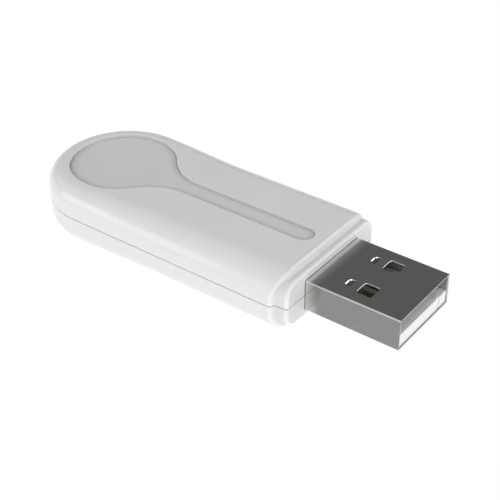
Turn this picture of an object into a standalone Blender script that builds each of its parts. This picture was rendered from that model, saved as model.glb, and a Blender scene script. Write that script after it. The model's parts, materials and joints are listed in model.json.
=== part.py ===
"""USB Wi-Fi adapter: a white stick with a round head, a sprung press pad and a USB-A plug.

Every mesh is drawn in millimetres about the plug root: the point on the collar's front face
at the centre of the plug, with +X out along the plug and +Z up. The empty "plug_root" carries
the whole adapter to its place, so that the model's origin is the centre of its underside.
"""
import math

import bmesh
import bpy
from mathutils import Matrix, Vector

MM = 0.001
WELD = 0.0005

# Plug (USB type A, all in millimetres)
PLUG_LENGTH = 13.75
PLUG_WIDTH = 12.0
PLUG_HEIGHT = 4.5
PLUG_SHEET = 0.25
PLUG_BEND = 0.1
PLUG_INNER_BEND = 0.05
MOUTH_BREAK = 0.08
PLUG_REAR = -4.6
WINDOW_X = 7.35
WINDOW_LONG = 2.25
WINDOW_WIDE = 2.4
WINDOW_Y = 3.0
WINDOW_CORNER = 0.3
LANCE_X = (4.2, 5.15)
LANCE_WIDE = 1.6
LANCE_DEPTH = 0.42
LANCE_CORNER = 0.45
LANCE_LIP = 0.02
LEG_LONG = 3.4
LEG_Z = (-1.7, 0.9)
LEG_CLEAR = 0.1
TONGUE_BACK = 0.15
TONGUE_TOP = -0.2
TONGUE_SPLIT = (3.82, 3.98)
TONGUE_NICK = (3.5, 3.75)
TONGUE_LUG = (3.0, 3.4, 3.82, -0.03)
LUG_DEPTH = 0.4
SPLIT_DEPTH = 0.3
NICK_SIZE = 0.22
CONTACT_PITCH = ((-3.5, 12.3), (-1.0, 11.3), (1.0, 11.3), (3.5, 12.3))
CONTACT_WIDE = 1.0
CONTACT_THICK = 0.25
CONTACT_TAIL = -6.3
CONTACT_JOG = (-3.0, -2.0)
CONTACT_NOSE = (0.5, 0.06)
CHANNEL_END = 0.15

# Casing
HALF_WIDTH = 10.7
HEAD_X = -35.75
TOP = 4.42
BOTTOM = 4.0
SEAM_HALF_GAP = 0.06
WALL = 1.25
SKIN = 1.2
EDGE_TOP = (3.7, 2.6)
EDGE_BOTTOM = (2.55, 1.95)
EDGE_CHANGE_X = -21.0
STEP_SIDE = (-2.5, -1.5)
STEP_TOP = (-1.5, -0.7)
STEP_ANGLE = math.radians(75)
COLLAR_HALF_WIDTH = 9.97
COLLAR_TOP = 3.47
COLLAR_BOTTOM = 3.3
COLLAR_EDGE = 2.0
COLLAR_ROUND = 0.45
FRONT_WALL_X = -1.6
PLUG_CLEAR = 0.05
LIP_OUTER = 9.9
LIP_DEPTH = 0.9
LIP_TOP = 0.5
LIP_FRONT_X = -3.2
LIP_CLEAR = 0.05
REBATE_FRONT_X = -2.9
REBATE_TOP = 0.7

# Keyhole press pad
RING_RADIUS = 7.6
STEM_HALF = 1.52
STEM_END_X = -3.0
FILLET = 8.7
PAD_SINK = 0.4
PAD_GAP = 0.12
PAD_FLANGE = 0.7
FLANGE_THICK = 0.63
BOSS_RADII = (0.9, 1.3)
LAP = 0.1
PIVOT_X = STEM_END_X - STEM_HALF
PIVOT_Z = 3.5

# Circuit board and its parts
BOARD_TOP = -0.1
BOARD_THICK = 1.0
BOARD_HALF = 9.2
BOARD_FRONT = -4.75
SEAT_GAP = 0.05
PIN_X = -13.2
PIN_Y = 7.9
SHIELD_CENTRE = (-21.3, 0.0)
SHIELD_SIZE = (12.6, 12.6, 1.5)
SHIELD_SHEET = 0.2
SHIELD_BEND = 0.25
ANTENNA_BACK = -43.0
ANTENNA_TALL = 4.0
ANTENNA_HALF = 5.0
FEED_Y = -1.4
TRACE_WIDE = 0.8
TRACE_THICK = 0.07
SWITCH_SIZE = 4.5
SWITCH_HEIGHT = 1.2
SWITCH_FLOOR = 0.3
WELL_RADIUS = 1.55
DOME_RADIUS = 1.4
DOME_RISE = 0.3
DOME_THICK = 0.08
PLUNGER_RADIUS = 0.9
PLUNGER_FLANGE = 1.25
PLUNGER_STEP = 0.3
PLUNGER_BREAK = 0.1
PLUNGER_CLEAR = 0.12
COVER_INSET = 0.1
COVER_THICK = 0.2
SWITCH_BASE = BOARD_TOP + SEAT_GAP
SWITCH_TOP = SWITCH_BASE + 2.0

# Casing details
SNAP_X = (-10.0, -19.5, -29.0)
SNAP_HALF = 1.5
SNAP_Z = (-0.75, -0.35)
SNAP_PROUD = 0.25
SNAP_ROOT = 0.2
POCKET_CLEAR = 0.1
RIB_X = (-4.2, -3.4)
RIB_Y = 4.0
RIB_HALF = 1.2
POST_ROOT = 0.4
CLAMP_POSTS = [(-8.6, 7.9), (-24.5, 7.9)]
CLAMP_RADIUS = 0.8
SEAT_POSTS = [(-24.5, 7.6), (-40.5, 5.6)]
SEAT_RADIUS = 0.9
PIN_SEAT_RADIUS = 1.1
PIN_RADIUS = 0.55
PIN_TOP = 0.35
PIN_HOLE = 0.7
PIN_ROOT = 0.5
BED_DEPTH = 0.2
BED_CLEAR = 0.25
LABEL_X = -19.5
LABEL_SIZE = (23.9, 12.3)
LABEL_CORNER = 1.0
LABEL_GLUE = 0.05
LABEL_THICK = 0.11

ORIGIN = Vector((PLUG_LENGTH - (PLUG_LENGTH - HEAD_X + HALF_WIDTH) / 2, 0, -BOTTOM))


# ---------------------------------------------------------------- mesh tools

def solid(name, bm):
    """Turn a closed bmesh into an object whose faces point out."""
    bmesh.ops.remove_doubles(bm, verts=bm.verts, dist=WELD)
    bmesh.ops.recalc_face_normals(bm, faces=bm.faces)
    mesh = bpy.data.meshes.new(name)
    bm.to_mesh(mesh)
    bm.free()
    obj = bpy.data.objects.new(name, mesh)
    bpy.context.scene.collection.objects.link(obj)
    return obj


def bridge(bm, first, second):
    """Join two vertex loops of the same length with quads."""
    count = len(first)
    for i in range(count):
        j = (i + 1) % count
        bm.faces.new((first[i], first[j], second[j], second[i]))


def loft(name, rings, tube=False):
    """Skin a row of rings; a tube's last ring meets its first, others are capped."""
    bm = bmesh.new()
    loops = [[bm.verts.new(point) for point in ring] for ring in rings]
    for first, second in zip(loops, loops[1:]):
        bridge(bm, first, second)
    if tube:
        bridge(bm, loops[-1], loops[0])
    else:
        bm.faces.new(loops[0])
        bm.faces.new(loops[-1])
    return solid(name, bm)


def prism(name, outline, low, high):
    """Extrude an outline in plan from z = low to z = high."""
    return loft(name, [[(x, y, z) for x, y in outline] for z in (low, high)])


def blade(name, profile, left, right):
    """Extrude an outline in side view from y = left to y = right."""
    return loft(name, [[(x, y, z) for x, z in profile] for y in (left, right)])


def turned(name, centre, profile, steps=24):
    """Turn (radius, z) points about an upright axis; both ends are capped."""
    rings = []
    for radius, z in profile:
        circle = arc(centre, radius, 0, 360 - 360 / steps, steps - 1)
        rings.append([(x, y, z) for x, y in circle])
    return loft(name, rings)


def box(name, low, high, bevel=0.0):
    """A block between two corners, with its edges bevelled where a width is given."""
    bm = bmesh.new()
    bmesh.ops.create_cube(bm, size=1.0)
    size = Vector(high) - Vector(low)
    middle = (Vector(high) + Vector(low)) / 2
    bmesh.ops.transform(bm, matrix=Matrix.Diagonal((*size, 1)), verts=bm.verts)
    bmesh.ops.translate(bm, vec=middle, verts=bm.verts)
    if bevel:
        bmesh.ops.bevel(bm, geom=bm.edges[:], offset=bevel, segments=1, affect="EDGES")
    return solid(name, bm)


def arc(centre, radius, start, end, steps):
    """Points on a circle from start to end, in degrees, with both ends included."""
    points = []
    for i in range(steps + 1):
        angle = math.radians(start + (end - start) * i / steps)
        points.append((centre[0] + radius * math.cos(angle), centre[1] + radius * math.sin(angle)))
    return points


def rounded_rectangle(half_a, half_b, radius, steps=4):
    """A rectangle about the origin with round corners."""
    points = []
    for sign_a, sign_b, start in ((1, 1, 0), (-1, 1, 90), (-1, -1, 180), (1, -1, 270)):
        corner = (sign_a * (half_a - radius), sign_b * (half_b - radius))
        points += arc(corner, radius, start, start + 90, steps)
    return points


def shifted(outline, dx, dy):
    return [(x + dx, y + dy) for x, y in outline]


def combine(obj, operation, *tools):
    """Apply Boolean tools in turn, and delete them."""
    for tool in tools:
        modifier = obj.modifiers.new(tool.name, "BOOLEAN")
        modifier.operation = operation
        modifier.solver = "EXACT"
        modifier.object = tool
    bpy.context.view_layer.update()
    depsgraph = bpy.context.evaluated_depsgraph_get()
    baked = bpy.data.meshes.new_from_object(obj.evaluated_get(depsgraph))
    obj.modifiers.clear()
    obj.data = baked
    for tool in tools:
        bpy.data.objects.remove(tool)
    return obj


def cut(obj, *tools):
    return combine(obj, "DIFFERENCE", *tools)


def add(obj, *tools):
    return combine(obj, "UNION", *tools)


# ---------------------------------------------------------------- outlines

def round_ended(half_width, front_x, steps=28):
    """Plan outline of a strip with a square front and a half-round head."""
    return [(front_x, -half_width)] + arc((HEAD_X, 0), half_width, 270, 90, steps) + [(front_x, half_width)]


def keyhole(offset, steps=36):
    """Plan outline of the press pad: a ring, two hollow fillets and a round-ended stem."""
    ring = RING_RADIUS + offset
    stem = STEM_HALF + offset
    fillet = FILLET - offset
    reach = math.sqrt((ring + fillet) ** 2 - (stem + fillet) ** 2)
    meet = math.degrees(math.atan2(stem + fillet, reach))
    fillet_x = HEAD_X + reach
    points = arc((HEAD_X, 0), ring, meet, 360 - meet, steps)
    points += arc((fillet_x, -stem - fillet), fillet, 180 - meet, 90, 8)[1:]
    points += arc((PIVOT_X, 0), stem, 270, 450, 10)
    points += arc((fillet_x, stem + fillet), fillet, 270, 180 + meet, 8)[:-1]
    return points


def edge_radius(x, edge):
    """Rounding of the casing's long edges, which tightens from the plug to the head."""
    along = min(max((EDGE_CHANGE_X - x) / (EDGE_CHANGE_X - HEAD_X), 0), 1)
    ease = along * along * (3 - 2 * along)
    return edge[0] + (edge[1] - edge[0]) * ease


def edge_column(x, y, inward, height, radius, rim, steps):
    """Points up one side wall, from the rim round the edge to the flat."""
    column = [(x, y, rim)]
    for i in range(steps + 1):
        angle = math.radians(90 * i / steps)
        inset = radius * (1 - math.cos(angle))
        z = height - radius * (1 - math.sin(angle))
        column.append((x + inward[0] * inset, y + inward[1] * inset, z))
    return column


def half_casing(name, half_width, height, edge, front_x, rim, collar=None, steps=9, fan=36):
    """A half of the casing's outer or inner form, with its flat up.

    Columns of points run up the wall from the front on one side, round the head and back.
    The front ends flat, or goes on through the step to the collar where one is given.
    """
    stations = [front_x, -5.0] + [EDGE_CHANGE_X + (HEAD_X - EDGE_CHANGE_X) * i / 6 for i in range(6)]
    right = [edge_column(x, -half_width, (0, 1), height, edge_radius(x, edge), rim, steps)
             for x in stations]
    left = [[(x, -y, z) for x, y, z in column] for column in reversed(right)]
    head = []
    for i in range(fan + 1):
        angle = math.radians(270 - 180 * i / fan)
        out = (math.cos(angle), math.sin(angle))
        head.append(edge_column(HEAD_X + half_width * out[0], half_width * out[1], (-out[0], -out[1]),
                                height, edge[1], rim, steps))
    columns = right + head + left
    rings = [front_section(half_width, height, edge[0], front_x, rim, steps)]
    if collar:
        rings = step_rings(half_width, height, edge[0], rim, collar, steps)
        columns[0] = rings[0][:steps + 2]
        columns[-1] = rings[0][:-steps - 3:-1]

    bm = bmesh.new()
    grid = [[bm.verts.new(point) for point in column] for column in columns]
    for near, far in zip(grid, grid[1:]):
        for i in range(steps + 1):
            bm.faces.new((near[i], near[i + 1], far[i + 1], far[i]))
    middle = [bm.verts.new(point) for point in rings[0][steps + 2:-steps - 2]]
    loops = [grid[0] + middle + grid[-1][::-1]]
    loops += [[bm.verts.new(point) for point in ring] for ring in rings[1:]]
    for first, second in zip(loops, loops[1:]):
        for i in range(len(first) - 1):
            bm.faces.new((first[i], first[i + 1], second[i + 1], second[i]))
    bm.faces.new([column[-1] for column in grid] + middle[::-1])
    rim_left = [loop[-1] for loop in loops[1:]]
    rim_right = [loop[0] for loop in reversed(loops[1:])]
    bm.faces.new([column[0] for column in grid] + rim_left + rim_right)
    bm.faces.new(loops[-1])
    return solid(name, bm)


def front_section(half_width, height, radius, x, rim, steps):
    """One cross-section, from rim to rim over the flat."""
    side = edge_column(x, -half_width, (0, 1), height, radius, rim, steps)
    flat = [(x, (half_width - radius) * part, height) for part in (-0.5, 0.0, 0.5)]
    return side + flat + [(px, -py, pz) for px, py, pz in reversed(side)]


def step_rings(half_width, height, radius, rim, collar, steps):
    """Cross-sections through the S-shaped step and the collar's round front edge."""
    collar_height, arc_steps = collar
    body = front_section(half_width, height, radius, 0.0, rim, steps)
    neck = front_section(COLLAR_HALF_WIDTH, collar_height, COLLAR_EDGE, 0.0, rim, steps)
    lift = [0.0] + [math.sin(math.radians(90 * i / steps)) ** 2 for i in range(steps + 1)]
    lift = lift + [1.0] * 3 + lift[::-1]
    bend = [STEP_ANGLE * i / arc_steps for i in range(arc_steps + 1)]
    rise = [(0.5 * math.sin(a) / math.sin(STEP_ANGLE),
             0.5 * (1 - math.cos(a)) / (1 - math.cos(STEP_ANGLE))) for a in bend]
    curve = rise + [(1 - ahead, 1 - inset) for ahead, inset in reversed(rise[:-1])]
    rings = []
    for ahead, inset in curve:
        ring = []
        for (_, y0, z0), (_, y1, z1), up in zip(body, neck, lift):
            start = STEP_SIDE[0] + (STEP_TOP[0] - STEP_SIDE[0]) * up
            end = STEP_SIDE[1] + (STEP_TOP[1] - STEP_SIDE[1]) * up
            ring.append((start + (end - start) * ahead, y0 + (y1 - y0) * inset, z0 + (z1 - z0) * inset))
        rings.append(ring)
    for i in range(arc_steps + 1):
        angle = math.radians(90 * i / arc_steps)
        inset = COLLAR_ROUND * (1 - math.cos(angle))
        x = -COLLAR_ROUND * (1 - math.sin(angle))
        rings.append(front_section(COLLAR_HALF_WIDTH - inset, collar_height - inset,
                                   COLLAR_EDGE - inset, x, rim, steps))
    return rings


def turned_over(obj):
    """Turn a half of the casing upside down."""
    obj.data.transform(Matrix.Diagonal((1, 1, -1, 1)))
    obj.data.flip_normals()
    return obj


# ---------------------------------------------------------------- casing

def post(x, y, radius, low, high):
    return turned("post", (x, y), [(radius, low), (radius, high)], 16)


def mirrored_posts(places, radius, low, high):
    return [post(x, side * y, radius, low, high) for x, y in places for side in (-1, 1)]


def plug_opening():
    return box("plug_opening", (-3, -PLUG_WIDTH / 2 - PLUG_CLEAR, -PLUG_HEIGHT / 2 - PLUG_CLEAR),
               (1, PLUG_WIDTH / 2 + PLUG_CLEAR, PLUG_HEIGHT / 2 + PLUG_CLEAR))


def snap_blocks(name, grow):
    """Latches along both long sides; the pockets that take them are the same blocks, grown."""
    half = SNAP_HALF + grow
    low = SNAP_Z[0] - grow
    high = SNAP_Z[1] + grow
    blocks = []
    for x in SNAP_X:
        for side in (-1, 1):
            near, far = sorted((side * (LIP_OUTER - SNAP_ROOT), side * (LIP_OUTER + SNAP_PROUD + grow)))
            blocks.append(box(name, (x - half, near, low), (x + half, far, high)))
    return blocks


def plug_ribs(low, high):
    """A pair of ribs that clamp the rear of the plug's shell, left and right of the stem."""
    ribs = []
    for y in (-RIB_Y, RIB_Y):
        ribs.append(box("rib", (RIB_X[0], y - RIB_HALF, low), (RIB_X[1], y + RIB_HALF, high)))
    return ribs


def make_top_shell():
    shell = half_casing("top_shell", HALF_WIDTH, TOP, EDGE_TOP, STEP_SIDE[0], SEAM_HALF_GAP,
                        (COLLAR_TOP, 4))
    add(shell, prism("lip", round_ended(LIP_OUTER, LIP_FRONT_X), -LIP_DEPTH, LIP_TOP))
    add(shell, *snap_blocks("latch", 0.0))
    inner_edge = (EDGE_TOP[0] - WALL, EDGE_TOP[1] - WALL)
    hollow = half_casing("hollow", HALF_WIDTH - WALL, TOP - SKIN, inner_edge, FRONT_WALL_X,
                         -LIP_DEPTH - 0.3, steps=3, fan=28)
    cut(shell, hollow, plug_opening(), prism("pad_opening", keyhole(0), 2.0, 5.0))
    ceiling = TOP - SKIN + POST_ROOT
    foot = BOARD_TOP + SEAT_GAP
    clamp = PLUG_HEIGHT / 2 + PLUG_CLEAR
    add(shell, *mirrored_posts(CLAMP_POSTS, CLAMP_RADIUS, foot, ceiling))
    return add(shell, *plug_ribs(clamp, ceiling))


def make_bottom_shell():
    shell = turned_over(half_casing("bottom_shell", HALF_WIDTH, BOTTOM, EDGE_BOTTOM, STEP_SIDE[0],
                                    SEAM_HALF_GAP, (COLLAR_BOTTOM, 4)))
    inner_edge = (EDGE_BOTTOM[0] - WALL, EDGE_BOTTOM[1] - WALL)
    hollow = turned_over(half_casing("hollow", HALF_WIDTH - WALL, BOTTOM - SKIN, inner_edge,
                                     FRONT_WALL_X, -0.5, steps=3, fan=28))
    rebate = prism("rebate", round_ended(LIP_OUTER + LIP_CLEAR, REBATE_FRONT_X),
                   -LIP_DEPTH - LAP, REBATE_TOP)
    bed = rounded_rectangle(LABEL_SIZE[0] / 2 + BED_CLEAR, LABEL_SIZE[1] / 2 + BED_CLEAR,
                            LABEL_CORNER + BED_CLEAR)
    label_bed = prism("label_bed", shifted(bed, LABEL_X, 0), -BOTTOM - 1, -BOTTOM + BED_DEPTH)
    cut(shell, hollow, rebate, plug_opening(), label_bed, *snap_blocks("pocket", POCKET_CLEAR))
    floor = -BOTTOM + SKIN - POST_ROOT
    seat = BOARD_TOP - BOARD_THICK - SEAT_GAP
    add(shell, *mirrored_posts(SEAT_POSTS, SEAT_RADIUS, floor, seat))
    add(shell, *mirrored_posts([(PIN_X, PIN_Y)], PIN_SEAT_RADIUS, floor, seat))
    add(shell, *mirrored_posts([(PIN_X, PIN_Y)], PIN_RADIUS, seat - PIN_ROOT, PIN_TOP))
    return add(shell, *plug_ribs(floor, -PLUG_HEIGHT / 2 - PLUG_CLEAR))


def make_press_pad():
    pad_top = TOP - PAD_SINK
    ceiling = TOP - SKIN
    flange_low = ceiling - PAD_GAP - FLANGE_THICK
    pad = prism("press_pad", keyhole(-PAD_GAP), flange_low + LAP, pad_top)
    flange = prism("flange", keyhole(PAD_FLANGE), flange_low, ceiling - PAD_GAP)
    boss = turned("boss", (HEAD_X, 0), [(BOSS_RADII[0], SWITCH_TOP + SEAT_GAP),
                                        (BOSS_RADII[1], flange_low + LAP)], 20)
    return add(pad, flange, boss)


def make_label():
    outline = shifted(rounded_rectangle(LABEL_SIZE[0] / 2, LABEL_SIZE[1] / 2, LABEL_CORNER), LABEL_X, 0)
    top = BED_DEPTH - LABEL_GLUE - BOTTOM
    return prism("rating_label", outline, top - LABEL_THICK, top)


# ---------------------------------------------------------------- plug

def plug_ring(x, inset, radius):
    outline = rounded_rectangle(PLUG_WIDTH / 2 - inset, PLUG_HEIGHT / 2 - inset, radius)
    return [(x, y, z) for y, z in outline]


def make_usb_shell():
    shell = loft("usb_shell", [
        plug_ring(PLUG_REAR, 0, PLUG_BEND),
        plug_ring(PLUG_LENGTH - MOUTH_BREAK, 0, PLUG_BEND),
        plug_ring(PLUG_LENGTH, MOUTH_BREAK, PLUG_BEND - MOUTH_BREAK),
        plug_ring(PLUG_LENGTH, PLUG_SHEET, PLUG_INNER_BEND),
        plug_ring(PLUG_REAR, PLUG_SHEET, PLUG_INNER_BEND),
    ], tube=True)
    outside = PLUG_HEIGHT / 2
    inside = outside - PLUG_SHEET
    below = inside - LAP
    window = rounded_rectangle(WINDOW_LONG / 2, WINDOW_WIDE / 2, WINDOW_CORNER, 3)
    holes = []
    parts = []
    for side in (-1, 1):
        place = shifted(window, WINDOW_X, side * WINDOW_Y)
        holes.append(prism("window_top", place, below, outside + 1))
        holes.append(prism("window_under", place, -outside - 1, -below))
        holes.append(lance_pocket(side, outside))
        parts.append(lance_tongue(side, inside))
        near, far = sorted((side * (PLUG_WIDTH / 2 - PLUG_SHEET), side * PLUG_WIDTH / 2))
        parts.append(box("leg", (PLUG_REAR - LEG_LONG, near, LEG_Z[0]), (PLUG_REAR + LAP, far, LEG_Z[1])))
    add(shell, *parts)
    return cut(shell, *holes)


def lance_tongue(side, inside):
    """The metal under a pressed lance, which stops the insulator from sliding out."""
    root, mouth = LANCE_X
    profile = [(mouth + LAP, inside + LAP), (mouth + LAP, inside - LANCE_LIP), (root, inside - LANCE_DEPTH),
               (root, inside + LAP)]
    half = LANCE_WIDE / 2
    return blade("lance", profile, side * WINDOW_Y - half, side * WINDOW_Y + half)


def lance_pocket(side, outside):
    """The lance's hollow: round at its deep end, and rising to nothing towards the mouth."""
    root, mouth = LANCE_X
    half = LANCE_WIDE / 2
    outline = [(mouth, half), (mouth, -half)]
    outline += arc((root + LANCE_CORNER, LANCE_CORNER - half), LANCE_CORNER, 270, 180, 4)
    outline += arc((root + LANCE_CORNER, half - LANCE_CORNER), LANCE_CORNER, 180, 90, 4)
    outline = shifted(outline, 0, side * WINDOW_Y)
    depth = [LANCE_DEPTH * (mouth - x) / (mouth - root) - 0.01 for x, _ in outline]
    ramp = [(x, y, outside - down) for (x, y), down in zip(outline, depth)]
    return loft("lance_pocket", [ramp, [(x, y, outside + 1) for x, y in outline]])


def make_insulator():
    half_y = PLUG_WIDTH / 2 - PLUG_SHEET - SEAT_GAP
    half_z = PLUG_HEIGHT / 2 - PLUG_SHEET - SEAT_GAP
    tip = PLUG_LENGTH - TONGUE_BACK
    block_front = LANCE_X[0]
    profile = [(PLUG_REAR, -half_z), (tip, -half_z), (tip, TONGUE_TOP), (block_front, TONGUE_TOP),
               (block_front, half_z), (PLUG_REAR, half_z)]
    insulator = blade("usb_insulator", profile, -half_y, half_y)
    tail_top = BOARD_TOP + SEAT_GAP + CONTACT_THICK
    channels = []
    for y, end in CONTACT_PITCH:
        low = (PLUG_REAR - 1, y - CONTACT_WIDE / 2 - SEAT_GAP, TONGUE_TOP - CONTACT_THICK / 2 - SEAT_GAP)
        high = (end + CHANNEL_END, y + CONTACT_WIDE / 2 + SEAT_GAP, tail_top + SEAT_GAP)
        channels.append(box("channel", low, high))
    split = box("split", (tip - SPLIT_DEPTH, TONGUE_SPLIT[0], -half_z - 1), (tip + 1, TONGUE_SPLIT[1], 1))
    nick = box("nick", (tip - NICK_SIZE, TONGUE_NICK[0], -half_z - 1),
               (tip + 1, TONGUE_NICK[1], -half_z + NICK_SIZE))
    foot, start, end, height = TONGUE_LUG
    sunk = TONGUE_TOP - LAP
    lug = [(foot, sunk), (end, sunk), (end, height), (start, height)]
    lug = loft("lug", [[(x, y, z) for y, z in lug] for x in (tip - LUG_DEPTH, tip)])
    return cut(add(insulator, lug), *channels, split, nick)


def make_contacts():
    """Strips along the tongue, joggled up at the rear so that their tails lie on the board."""
    names = ("contact_ground", "contact_data_plus", "contact_data_minus", "contact_power")
    low = TONGUE_TOP - CONTACT_THICK / 2
    high = low + CONTACT_THICK
    tail = BOARD_TOP + SEAT_GAP
    back, front = CONTACT_JOG
    slope, blunt = CONTACT_NOSE
    contacts = []
    for name, (y, end) in zip(names, CONTACT_PITCH):
        profile = [(CONTACT_TAIL, tail), (back, tail), (front, low), (end, low), (end, low + blunt),
                   (end - slope, high), (front, high), (back, tail + CONTACT_THICK),
                   (CONTACT_TAIL, tail + CONTACT_THICK)]
        contacts.append(blade(name, profile, y - CONTACT_WIDE / 2, y + CONTACT_WIDE / 2))
    return contacts


# ---------------------------------------------------------------- board

def make_board():
    outline = round_ended(BOARD_HALF, BOARD_FRONT)
    board = prism("circuit_board", outline, BOARD_TOP - BOARD_THICK, BOARD_TOP)
    holes = mirrored_posts([(PIN_X, PIN_Y)], PIN_HOLE, -2, 1)
    half = PLUG_WIDTH / 2
    for side in (-1, 1):
        near, far = sorted((side * (half - PLUG_SHEET - LEG_CLEAR), side * (half + LEG_CLEAR)))
        back = PLUG_REAR - LEG_LONG - LEG_CLEAR
        holes.append(box("leg_slot", (back, near, -2), (BOARD_FRONT + 1, far, 1)))
    return cut(board, *holes)


def on_board(name, centre, size, bevel=0.06):
    """A component that stands on the board."""
    low = (centre[0] - size[0] / 2, centre[1] - size[1] / 2, BOARD_TOP + SEAT_GAP)
    high = (centre[0] + size[0] / 2, centre[1] + size[1] / 2, BOARD_TOP + SEAT_GAP + size[2])
    return box(name, low, high, bevel)


def make_shield_can():
    """A pressed lid, open below, with bevelled bends."""
    middle_x, middle_y = SHIELD_CENTRE
    long, wide, high = SHIELD_SIZE
    base = BOARD_TOP + SEAT_GAP
    can = box("shield_can", (middle_x - long / 2, middle_y - wide / 2, base - 1),
              (middle_x + long / 2, middle_y + wide / 2, base + high), SHIELD_BEND)
    half_x = long / 2 - SHIELD_SHEET
    half_y = wide / 2 - SHIELD_SHEET
    inside = box("inside", (middle_x - half_x, middle_y - half_y, base - 2),
                 (middle_x + half_x, middle_y + half_y, base + high - SHIELD_SHEET))
    below = box("below", (middle_x - long, middle_y - wide, base - 2),
                (middle_x + long, middle_y + wide, base))
    return cut(can, inside, below)


def make_antenna():
    """A printed inverted-F: a long arm with a feed leg and a ground leg."""
    arm_back = ANTENNA_BACK
    arm_front = arm_back + TRACE_WIDE
    foot = arm_back + ANTENNA_TALL
    outline = [(arm_back, -ANTENNA_HALF), (arm_back, ANTENNA_HALF), (arm_front, ANTENNA_HALF),
               (arm_front, FEED_Y + TRACE_WIDE), (foot, FEED_Y + TRACE_WIDE), (foot, FEED_Y),
               (arm_front, FEED_Y), (arm_front, TRACE_WIDE - ANTENNA_HALF),
               (foot, TRACE_WIDE - ANTENNA_HALF), (foot, -ANTENNA_HALF)]
    base = BOARD_TOP + SEAT_GAP
    return prism("antenna_trace", outline, base, base + TRACE_THICK)


def make_switch():
    """A surface-mount push switch: cup, snap dome, plunger and cover plate."""
    half = SWITCH_SIZE / 2
    top = SWITCH_BASE + SWITCH_HEIGHT
    floor = SWITCH_BASE + SWITCH_FLOOR
    cup = on_board("switch_cup", (HEAD_X, 0), (SWITCH_SIZE, SWITCH_SIZE, SWITCH_HEIGHT), 0.1)
    cut(cup, turned("well", (HEAD_X, 0), [(WELL_RADIUS, floor), (WELL_RADIUS, top + 1)]))

    spans = [DOME_RADIUS * i / 5 for i in range(1, 6)]
    under = [(r, floor + SEAT_GAP + DOME_RISE * (1 - (r / DOME_RADIUS) ** 2)) for r in spans]
    over = [(r + 0.02, z + DOME_THICK) for r, z in reversed(under)]
    dome = turned("switch_dome", (HEAD_X, 0), under + over, 20)

    flange_low = floor + DOME_RISE + DOME_THICK + 2 * SEAT_GAP
    step = flange_low + PLUNGER_STEP
    plunger = turned("switch_plunger", (HEAD_X, 0), [
        (PLUNGER_FLANGE, flange_low), (PLUNGER_FLANGE, step), (PLUNGER_RADIUS, step),
        (PLUNGER_RADIUS, SWITCH_TOP - PLUNGER_BREAK), (PLUNGER_RADIUS - PLUNGER_BREAK, SWITCH_TOP)])

    reach = half - COVER_INSET
    cover = box("switch_cover", (HEAD_X - reach, -reach, top + SEAT_GAP),
                (HEAD_X + reach, reach, top + SEAT_GAP + COVER_THICK))
    hole = PLUNGER_RADIUS + PLUNGER_CLEAR
    cut(cover, turned("cover_hole", (HEAD_X, 0), [(hole, top - 1), (hole, top + 1)]))
    return cup, dome, plunger, cover


def make_components():
    """Chips and passives, each with its place on the board, its size and its material."""
    parts = [
        ("wifi_chip", (-21.3, 0.0), (8.0, 8.0, 0.85), "epoxy"),
        ("crystal", (-11.4, 5.4), (3.2, 2.5, 0.8), "tin"),
        ("voltage_regulator", (-11.6, -4.4), (2.9, 1.6, 1.1), "epoxy"),
        ("power_inductor", (-9.0, -1.9), (2.5, 2.0, 1.2), "ferrite"),
        ("surge_chip", (-9.0, 1.1), (2.9, 1.6, 1.1), "epoxy"),
        ("input_fuse", (-8.9, 3.3), (2.0, 1.25, 0.6), "ferrite"),
        ("bulk_capacitor", (-12.4, -1.6), (1.6, 3.2, 1.4), "ceramic"),
        ("status_led", (-13.9, 0.9), (1.6, 0.8, 0.6), "lens"),
        ("memory_chip", (-29.9, 4.6), (3.0, 3.0, 0.8), "epoxy"),
        ("antenna_filter", (-30.2, -4.4), (2.0, 1.25, 0.7), "ceramic"),
    ]
    for i in range(3):
        parts.append(("capacitor_%d" % (i + 1), (-29.5, -1.8 + 1.5 * i), (1.6, 0.8, 0.8), "ceramic"))
    parts.append(("capacitor_4", (-39.4, 2.4), (0.8, 1.6, 0.8), "ceramic"))
    for i in range(4):
        parts.append(("resistor_%d" % (i + 1), (-15.6 - 2.3 * i, 7.4), (1.0, 0.5, 0.35), "ferrite"))
    return [(on_board(name, centre, size), slot) for name, centre, size, slot in parts]


# ---------------------------------------------------------------- scene

MATERIALS = {
    "casing": ((0.86, 0.86, 0.86), 0.0, 0.35),
    "pad": ((0.84, 0.84, 0.84), 0.0, 0.4),
    "nickel": ((0.55, 0.55, 0.54), 1.0, 0.2),
    "insulator": ((0.88, 0.88, 0.87), 0.0, 0.5),
    "gold": ((0.83, 0.62, 0.25), 1.0, 0.3),
    "board": ((0.03, 0.2, 0.09), 0.0, 0.45),
    "epoxy": ((0.02, 0.02, 0.022), 0.0, 0.5),
    "tin": ((0.7, 0.7, 0.7), 1.0, 0.35),
    "ferrite": ((0.07, 0.07, 0.075), 0.0, 0.6),
    "ceramic": ((0.5, 0.38, 0.25), 0.0, 0.5),
    "lens": ((0.75, 0.85, 0.6), 0.0, 0.2),
    "copper": ((0.72, 0.42, 0.25), 1.0, 0.4),
    "paper": ((0.7, 0.71, 0.72), 0.0, 0.6),
}


def make_material(name):
    colour, metallic, roughness = MATERIALS[name]
    material = bpy.data.materials.new(name)
    material.use_nodes = True
    shader = material.node_tree.nodes["Principled BSDF"]
    shader.inputs["Base Color"].default_value = (*colour, 1.0)
    shader.inputs["Metallic"].default_value = metallic
    shader.inputs["Roughness"].default_value = roughness
    material.diffuse_color = (*colour, 1.0)
    return material


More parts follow.
